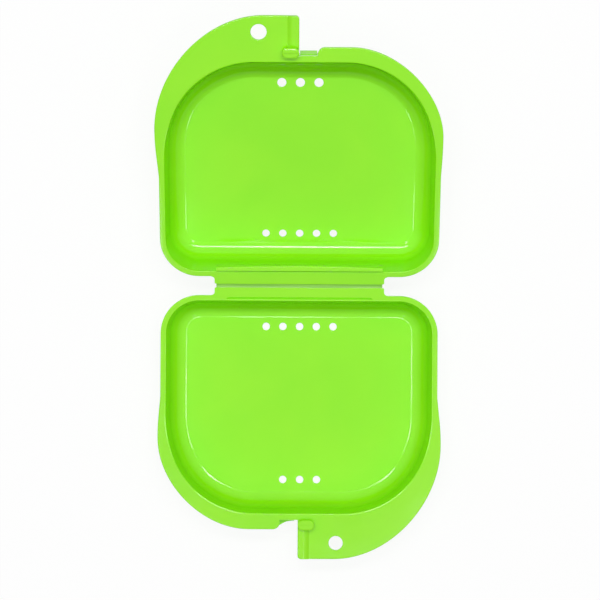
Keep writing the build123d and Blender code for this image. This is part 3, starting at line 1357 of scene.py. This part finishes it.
@dataclass
class SnapCatch(MouldedPiece):
    """The hook beside the tab's straight edge: a short stem under an oblong, softly rounded head."""

    width: float = 4.7
    nose_face: float = 66.1
    head_back: float = 69.0
    head_bottom: float = 1.65
    head_top: float = 2.55
    head_corner: float = 1.45
    head_edge: float = 0.14
    head_lower_edge: float = 0.1
    chamfer_width: float = 0.42
    chamfer_slope: float = 20.2
    stem_face: float = 66.5
    stem_back: float = 68.4
    stem_inset: float = 0.45
    stem_corner: float = 0.5
    stem_overlap: float = 0.3
    sink: float = 0.1
    sharp_angle: float = 32.0

    def build(self) -> Piece:
        """Model the catch and set it on the tab.

        Returns:
            The finished piece.
        """
        right = self.place.tab_edge
        left = right - self.width
        rise = self.chamfer_width * math.tan(math.radians(self.chamfer_slope))
        shoulder = self.head_top - rise
        low = (left, self.nose_face, self.head_bottom)
        head = block(self.place.node("catch_hook"), low, (right, self.head_back, shoulder))

        def is_upright(a: Vector, b: Vector) -> bool:
            """Tell whether an edge stands upright."""
            return abs(a.z - b.z) > 0.5

        def is_shoulder(a: Vector, b: Vector) -> bool:
            """Tell whether an edge is one round the chamfer's foot."""
            return abs(a.z - shoulder) + abs(b.z - shoulder) < NEAR

        with edit(head):
            round_edges(head, is_upright, self.head_corner, 10)
            pick(head, "FACE", lambda centre, normal: normal.z > 0.9)
            bpy.ops.mesh.inset(thickness=self.chamfer_width, depth=rise)
            pick(head, "EDGE", lambda a, b: min(a.z, b.z) > self.head_top - NEAR)
            bpy.ops.mesh.mark_sharp()
            round_edges(head, is_shoulder, self.head_edge, 4)
            round_edges(
                head, lambda a, b: max(a.z, b.z) < self.head_bottom + NEAR, self.head_lower_edge, 2
            )
        stem = block(
            "stem",
            (left + self.stem_inset, self.stem_face, PROFILE.rim_height - self.sink),
            (right - self.stem_inset, self.stem_back, self.head_bottom + self.stem_overlap),
        )
        with edit(stem):
            round_edges(stem, is_upright, self.stem_corner, 5)
        combine(head, stem, "UNION")
        self.settle(head, self.sharp_angle)
        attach(head, f"{self.place.half.value}_tab")
        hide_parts(self.place.node("catch"))
        return head


@dataclass
class GuideRib(MouldedPiece):
    """The raised rib along the tab's straight edge, with a sloping inner flank."""

    height: float = 0.74
    top_width: float = 2.1
    foot_width: float = 3.7
    start: float = 68.65
    end: float = 77.35
    corner: float = 1.0
    edge: float = 0.42
    sink: float = 0.3
    sharp_angle: float = 40.0

    def build(self) -> Piece:
        """Model the rib and set it on the tab.

        Returns:
            The finished piece.
        """
        right = self.place.tab_edge
        top = PROFILE.rim_height + self.height
        low = (right - self.foot_width, self.start, PROFILE.rim_height - self.sink)
        rib = block(self.place.node("tab_rib"), low, (right, self.end, top))

        def is_corner(a: Vector, b: Vector) -> bool:
            """Tell whether an edge is the upright one at the free corner."""
            upright = abs(a.z - b.z) > 0.5
            return upright and min(a.x, b.x) > right - 0.1 and min(a.y, b.y) > self.end - 0.1

        def is_top(a: Vector, b: Vector) -> bool:
            """Tell whether an edge is one round the top, apart from the end by the fold."""
            return min(a.z, b.z) > top - NEAR and max(a.y, b.y) > self.start + 0.1

        with edit(rib):
            pick(rib, "VERT", lambda co: co.x < right - 1.0 and co.z > top - 0.1)
            bpy.ops.transform.translate(value=(self.foot_width - self.top_width, 0, 0))
            round_edges(rib, is_corner, self.corner, 8)
            round_edges(rib, is_top, self.edge, 5)
        self.settle(rib, self.sharp_angle)
        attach(rib, f"{self.place.half.value}_tab")
        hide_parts(self.place.node("guide_rib"))
        return rib


@dataclass
class LocatingLip(MouldedPiece):
    """The low bowed wall that stands in the lid's mouth beside the hinge."""

    half_width: float = 23.5
    outer: float = 4.65
    thickness: float = 0.95
    bow: float = 0.4
    height: float = 0.9
    foot: float = -2.4
    shelf: float = -0.9
    shelf_inset: float = 0.2
    shelf_overlap: float = 0.3
    wall_sink: float = 0.1
    top_slope: float = 16.0
    inner_edge: float = 0.2
    outer_edge: float = 0.14
    sharp_angle: float = 32.0

    def top_at(self, y: float) -> float:
        """Height of the lip's sloping top at a reach from the hinge."""
        return self.height - (y - self.outer) * math.tan(math.radians(self.top_slope))

    def build(self) -> Piece:
        """Model the lip and set it in the lid's mouth.

        Returns:
            The finished piece.
        """
        inner = self.outer + self.thickness
        radius = (self.half_width**2 + self.bow**2) / (2 * self.bow)
        spread = math.degrees(math.asin(self.half_width / radius))
        bowed = arc((0.0, inner + self.bow - radius), radius, 90 - spread, 90 + spread, 32)
        plan = [(self.half_width, self.outer)] + bowed + [(-self.half_width, self.outer)]
        levels = ((self.foot, inner), (self.shelf, inner + self.bow))
        rings = [[Vector((x, min(y, limit), z)) for x, y in plan] for z, limit in levels]
        rings.append([Vector((x, y, self.top_at(y))) for x, y in plan])
        wall = extruded_skin(self.place.node("mouth_lip"), rings)

        def on_top(a: Vector, b: Vector) -> bool:
            """Tell whether an edge lies in the sloping top."""
            return max(abs(end.z - self.top_at(end.y)) for end in (a, b)) < NEAR

        def is_inner(a: Vector, b: Vector) -> bool:
            """Tell whether an edge of the top is on the tray's side."""
            return on_top(a, b) and min(a.y, b.y) > self.outer + 0.3

        def is_outer(a: Vector, b: Vector) -> bool:
            """Tell whether an edge of the top is on the hinge's side."""
            return on_top(a, b) and max(a.y, b.y) < self.outer + 0.01

        with edit(wall):
            round_edges(wall, is_inner, self.inner_edge, 4)
            round_edges(wall, is_outer, self.outer_edge, 3)
        slope = math.tan(math.radians(PROFILE.draft))
        across = self.half_width - self.shelf_inset
        shelf = block(
            "shelf",
            (-across, OUTLINE.rear - self.shelf * slope - self.wall_sink, self.foot),
            (across, self.outer + self.shelf_overlap, self.shelf),
        )
        combine(wall, shelf, "UNION")
        self.settle(wall, self.sharp_angle)
        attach(wall, self.place.half.value)
        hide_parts(self.place.node("locating_lip"))
        return wall


@dataclass
class HingeWeb:
    """The thin film that both leaves hang on, thickened where it runs into them."""

    base: HalfFrame
    lid: HalfFrame
    finish: Material
    half_width: float = 23.5
    leaf_end: float = 0.5
    root: float = 0.12
    depth: float = 0.3
    thickness: float = 0.35
    root_thickness: float = 0.75
    steps: int = 12
    columns: int = 16
    end_inset: float = 0.015
    end_squeeze: float = 0.7
    sharp_angle: float = 45.0

    def section(self) -> list[Vector]:
        """The film's section from the base's leaf to the lid's, and back along its underside.

        Returns:
            The points in order, in the case's metres.
        """
        upper, lower = [], []
        reach_end = self.leaf_end + self.root
        for i in range(self.steps + 1):
            share = i / self.steps
            reach = -reach_end + 2 * reach_end * share
            near = min(1.0, abs(reach) / self.leaf_end) ** 4
            under = self.thickness / 2 + near * (self.root_thickness - self.thickness)
            for side, level in ((upper, self.thickness / 2), (lower, -under)):
                on_base = self.base.point(0, -reach, level - self.depth)
                on_lid = self.lid.point(0, reach, level - self.depth)
                side.append(on_base.lerp(on_lid, smooth(share, 0, 1)))
        return upper + lower[::-1]

    def build(self) -> Piece:
        """Model the film, curved between the two halves' leaves.

        Returns:
            The finished piece.
        """
        loop = self.section()
        middle = sum(loop, Vector()) / len(loop)
        half = self.columns // 2
        inner = [(i / half, 1.0) for i in range(1 - half, half)]
        end = [(1.0 - self.end_inset, 1.0), (1.0, self.end_squeeze)]
        rings = []
        for share, squeeze in [(-x, s) for x, s in reversed(end)] + inner + end:
            x = share * self.half_width * MM
            ring = [Vector((x, p.y, middle.z + (p.z - middle.z) * squeeze)) for p in loop]
            rings.append([p / MM for p in ring])
        web = extruded_skin("hinge_web", rings)
        web.data.transform(Matrix.Scale(MM, 4))
        dress(web, self.finish, self.sharp_angle)
        self.base.point(0, self.leaf_end, -self.depth)
        self.lid.point(0, self.leaf_end, -self.depth)
        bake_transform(web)
        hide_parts("hinge_film")
        return web


# Studio


@dataclass
class Studio:
    """Pale dome, white paper floor, soft lamps before and behind the lens, and the camera."""

    camera_place: Corner = (0.0002, 0.0304, 0.603)
    camera_roll: float = 0.3
    lens: float = 124.8
    sensor: float = 36.0
    dome_base: float = 0.02
    dome_top: float = 1.0
    dome_focus: float = 3.5
    dome_tilt: float = 9.0
    dome_rear: float = 0.2
    dome_sides: float = 0.3
    dome_dark: float = 0.45
    dome_fade: Point = (0.3, 0.85)
    dome_fade_lean: float = 0.1
    paper_width: float = 6.0
    paper_drop: float = 0.00002
    lamp_rise: float = 0.02
    ring_count: int = 16
    ring_radius: float = 0.12
    ring_width: float = 0.04
    ring_shift: float = -0.065
    ring_level: float = 10.5
    ring_swing: float = 2.5
    ring_end: float = 0.35
    side_place: Corner = (0.115, -0.405, 0.6)
    side_size: Point = (0.05, 0.08)
    side_level: float = 6.0
    key_shift: float = 0.15
    key_size: Point = (0.42, 0.08)
    key_level: float = 14.0
    core_drop: float = 0.001
    core_size: Point = (0.07, 0.05)
    core_level: float = 12.0

    def dome(self) -> None:
        """Make a dome that lights the case mostly from overhead, and a little from behind and beside.

        The camera, reflections and refractions see it white above and fading to grey low down.
        """
        world = bpy.data.worlds.new("Studio_dome")
        bpy.context.scene.world = world
        tree = empty_tree(world)
        way = add_node(tree, "TexCoord").outputs["Generated"]
        split = add_node(tree, "SeparateXYZ", links={"Vector": way}).outputs
        tilt = math.radians(self.dome_tilt)
        light = add_node(
            tree, "VectorMath", {1: (0, -math.sin(tilt), math.cos(tilt))}, {0: way},
            operation="DOT_PRODUCT",
        ).outputs["Value"]
        square = add_node(tree, "Math", links={0: split["X"], 1: split["X"]}, operation="MULTIPLY")
        overhead = (
            ("MAXIMUM", {1: 0.0}),
            ("POWER", {1: self.dome_focus}),
            ("MULTIPLY_ADD", {1: self.dome_top, 2: self.dome_base}),
        )
        for operation, values in overhead:
            step = add_node(tree, "Math", values, {0: light}, operation=operation)
            light = step.outputs[0]
        for source, level in ((split["Y"], self.dome_rear), (square.outputs[0], self.dome_sides)):
            step = add_node(tree, "Math", {1: level}, {0: source, 2: light}, operation="MULTIPLY_ADD")
            light = step.outputs[0]
        lit = add_node(tree, "Math", {1: 0.0}, {0: light}, operation="MAXIMUM")
        rise = add_node(
            tree, "Math", {1: self.dome_fade_lean}, {0: split["Y"], 2: split["Z"]},
            operation="MULTIPLY_ADD",
        )
        low, high = self.dome_fade
        white = add_node(
            tree, "MapRange",
            {"From Min": low, "From Max": high, "To Min": self.dome_dark, "To Max": 1.0},
            {"Value": rise.outputs[0]}, interpolation_type="SMOOTHSTEP",
        )
        path = add_node(tree, "LightPath").outputs
        seen = path["Is Camera Ray"]
        for ray in ("Is Glossy Ray", "Is Transmission Ray"):
            step = add_node(tree, "Math", links={0: seen, 1: path[ray]}, operation="MAXIMUM")
            seen = step.outputs[0]
        strength = add_node(tree, "Mix", links={0: seen, 2: lit.outputs[0], 3: white.outputs["Result"]})
        dome = add_node(tree, "Background", {"Color": WHITE}, {"Strength": strength.outputs[0]})
        add_node(tree, "OutputWorld", links={"Surface": dome.outputs["Background"]})

    def paper(self) -> Piece:
        """Lay the white paper that the case stands on, which keeps its shadow.

        Returns:
            The floor, marked as stage.
        """
        deselect_all()
        bpy.ops.mesh.primitive_plane_add(size=self.paper_width, location=(0, 0, 0))
        floor = bpy.context.object
        floor.name = floor.data.name = "paper_floor"
        floor.data.transform(Matrix.Translation((0, 0, -self.paper_drop)))
        floor.data.materials.append(BackdropPaper().build())
        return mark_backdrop(floor) or floor

    def lamp(self, name: str, place: Vector, size: Point, level: float, turn: float = 0.0) -> None:
        """Hang one soft lamp that faces straight down.

        Args:
            name: The lamp's name.
            place: Where it hangs.
            size: Its width and height in metres.
            level: How bright its face is, where 1 is white.
            turn: How far it is turned about the vertical.
        """
        data = bpy.data.lights.new(name, "AREA")
        data.shape = "RECTANGLE"
        data.size, data.size_y = size
        data.energy = level * math.pi * size[0] * size[1]
        lamp = bpy.data.objects.new(name, data)
        bpy.context.scene.collection.objects.link(lamp)
        lamp.location = place
        lamp.rotation_euler = (0, 0, turn)

    def lamps(self) -> None:
        """Hang the open ring round the lens, two lamps in front, and the strip behind with its core."""
        x, y, z = self.camera_place
        length = math.tau * self.ring_radius / self.ring_count
        for i in range(self.ring_count):
            turn = math.tau * (i + 0.5) / self.ring_count
            if math.sin(turn) > self.ring_end:
                continue
            across = self.ring_radius * math.cos(turn)
            along = self.ring_shift + self.ring_radius * math.sin(turn)
            spot = Vector((x + across, y + along, z + self.lamp_rise))
            level = self.ring_level + self.ring_swing * math.sin(turn)
            self.lamp(f"ring_{i + 1}", spot, (self.ring_width, length), level, turn)
        side_x, side_y, side_z = self.side_place
        for side in Flank:
            spot = Vector((side.value * side_x, side_y, side_z))
            self.lamp(f"side_{side.name.lower()}", spot, self.side_size, self.side_level)
        spot = Vector((x, y + self.key_shift, z + self.lamp_rise))
        self.lamp("key", spot, self.key_size, self.key_level)
        core = spot - Vector((0, 0, self.core_drop))
        self.lamp("key_core", core, self.core_size, self.core_level)

    def camera(self) -> None:
        """Set the camera straight above the case, and show colours as they are written."""
        scene = bpy.context.scene
        data = bpy.data.cameras.new("photo_camera")
        data.sensor_width = self.sensor
        data.lens = self.lens
        camera = bpy.data.objects.new("photo_camera", data)
        scene.collection.objects.link(camera)
        camera.location = self.camera_place
        camera.rotation_euler = (0.0, 0.0, math.radians(self.camera_roll))
        scene.camera = camera
        scene.view_settings.view_transform = "Standard"

    def build(self) -> None:
        """Set up the dome, floor, lamps and camera."""
        self.dome()
        self.paper()
        self.lamps()
        self.camera()


def main() -> None:
    """Build the whole case and its studio, and log each piece."""
    logging.basicConfig(level=logging.INFO, format="%(message)s")
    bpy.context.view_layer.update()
    hinge = next(j for j in frame["joints"] if j["name"] == "lid_hinge")
    axis, lean = Vector(hinge["pos_m"]), math.radians(-hinge["range_deg"][0])
    places = {half: HalfFrame(half, axis, lean) for half in Half}
    plastic = MouldedPolypropylene().build()
    film = FlexedFilmWithPaintedShade().build()
    plain = {"flank": Flank.LIP, "flare_end": 43.0, "flat_end": 14.0, "corner_radius": 2.0}
    lips = {
        Half.BASE: RimPlate(flare=0.7, reach=4.5, roundness=0.51, **plain),
        Half.LID: RimPlate(flare=0.35, reach=4.1, roundness=0.495, **plain),
    }
    tab = RimPlate(
        flank=Flank.TAB, flare=1.0, flare_end=45.0, reach=12.85,
        flat_end=10.0, roundness=0.52, corner_radius=1.0,
    )
    vents = {
        Half.BASE: (VentRow(5, 1.07, 4.83, 11.65, -0.12), VentRow(3, 1.07, 4.88, 55.9, -0.35)),
        Half.LID: (VentRow(5, 1.07, 4.83, 11.65), VentRow(3, 1.27, 5.2, 55.9)),
    }
    front_swell = {Half.BASE: 0.0, Half.LID: 2.1}
    lanyard = {
        Half.BASE: {"hole_radius": 2.0, "hole_inset": 10.9},
        Half.LID: {"hole_radius": 2.2, "hole_inset": 11.2},
    }
    pieces = []
    for half, place in places.items():
        shell = MouldedShell(place, plastic, vents[half], front_swell[half], lips[half], tab)
        pieces += [
            shell.build(),
            GripTab(place, plastic, plate=tab, **lanyard[half]).build(),
            SnapCatch(place, plastic).build(),
            GuideRib(place, plastic).build(),
        ]
    pieces.append(LocatingLip(places[Half.LID], plastic).build())
    pieces.append(HingeWeb(places[Half.BASE], places[Half.LID], film).build())
    Studio().build()
    for piece in pieces:
        LOG.info("%s: %d faces", piece.name, len(piece.data.polygons))


if __name__ == "__main__":
    main()
